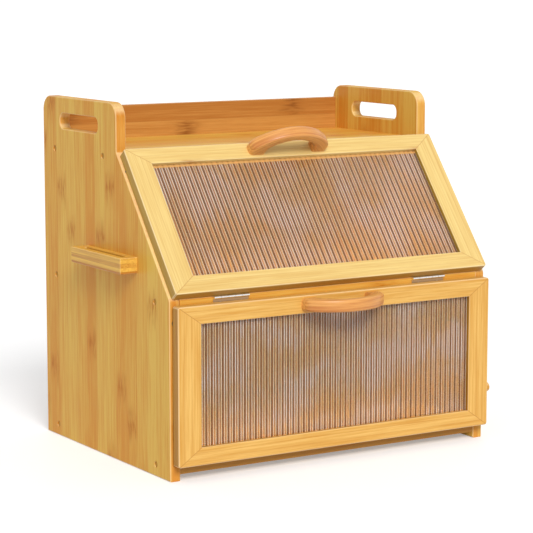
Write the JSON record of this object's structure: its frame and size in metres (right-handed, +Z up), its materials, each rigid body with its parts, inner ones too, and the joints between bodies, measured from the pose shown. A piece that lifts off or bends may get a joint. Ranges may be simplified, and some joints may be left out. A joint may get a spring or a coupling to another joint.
{
  "type": "bread box with drawer",
  "caption": "Countertop bread box of wooden boards with a slanted glazed door, a glazed drawer below, bowed pulls, hand slots and a side knife holder.",
  "frame": {"origin": "on the surface the box stands on, under the middle of its bounding box; midway between the side panels from left to right", "axes": "+X to the right seen from the front, -Y the front where the pulls are, +Z up"},
  "size_m": [0.461, 0.3496, 0.4],
  "materials": {
    "panel_bamboo": "satin lacquer over laminated bamboo strips",
    "frame_bamboo": "satin lacquer over laminated bamboo strips",
    "pull_bamboo": "satin lacquer, darker than the frames",
    "holder_bamboo": "satin lacquer",
    "box_bamboo": "matt, unseen inside",
    "thin_bamboo_board": "matt thin bamboo board",
    "plug_wood": "set a little below the face of the panel",
    "reeded_acrylic": "clear reeded sheet",
    "hinge_steel": "bright plated steel",
    "screw_steel": "zinc plated",
    "magnet_nickel": "nickel plated",
    "strike_steel": "plain steel"
  },
  "bodies": {
    "carcass": {"back_panel": "thin_bamboo_board", "back_panel_screws": "screw_steel", "bottom_board": "panel_bamboo", "door_magnets": "magnet_nickel", "drawer_magnets": "magnet_nickel", "hinge_shelf_screws": "screw_steel", "knife_holder": "holder_bamboo", "knife_holder_screws": "screw_steel", "left_drawer_runner": "box_bamboo", "left_hinge_fixed_leaf": "hinge_steel", "left_hinge_pin": "hinge_steel", "left_side_panel": "panel_bamboo", "middle_shelf": "panel_bamboo", "right_drawer_runner": "box_bamboo", "right_hinge_fixed_leaf": "hinge_steel", "right_hinge_pin": "hinge_steel", "right_side_panel": "panel_bamboo", "runner_screws": "screw_steel", "screw_plugs": "plug_wood", "side_panel_screws": "screw_steel", "side_peg": "holder_bamboo", "top_shelf": "panel_bamboo"},
    "door": {"door_bottom_rail": "frame_bamboo", "door_handle": "pull_bamboo", "door_handle_screws": "screw_steel", "door_left_stile": "frame_bamboo", "door_right_stile": "frame_bamboo", "door_strikes": "strike_steel", "door_top_rail": "frame_bamboo", "door_window": "reeded_acrylic", "hinge_door_screws": "screw_steel", "left_hinge_door_leaf": "hinge_steel", "right_hinge_door_leaf": "hinge_steel"},
    "drawer": {"drawer_back": "box_bamboo", "drawer_back_screws": "screw_steel", "drawer_bottom": "thin_bamboo_board", "drawer_bottom_rail": "frame_bamboo", "drawer_bottom_screws": "screw_steel", "drawer_dowels": "plug_wood", "drawer_handle": "pull_bamboo", "drawer_handle_screws": "screw_steel", "drawer_left_side": "box_bamboo", "drawer_left_stile": "frame_bamboo", "drawer_right_side": "box_bamboo", "drawer_right_stile": "frame_bamboo", "drawer_stop_pegs": "plug_wood", "drawer_strikes": "strike_steel", "drawer_top_rail": "frame_bamboo", "drawer_window": "reeded_acrylic"}
  },
  "joints": [
    {"name": "door_hinge", "type": "hinge", "parent": "carcass", "child": "door", "pos_m": [0, -0.12745, 0.1964], "axis": [1, 0, 0], "range_deg": [0, 79]},
    {"name": "drawer_slide", "type": "slide", "parent": "carcass", "child": "drawer", "axis": [0, -1, 0], "range_m": [0, 0.15]}
  ]
}
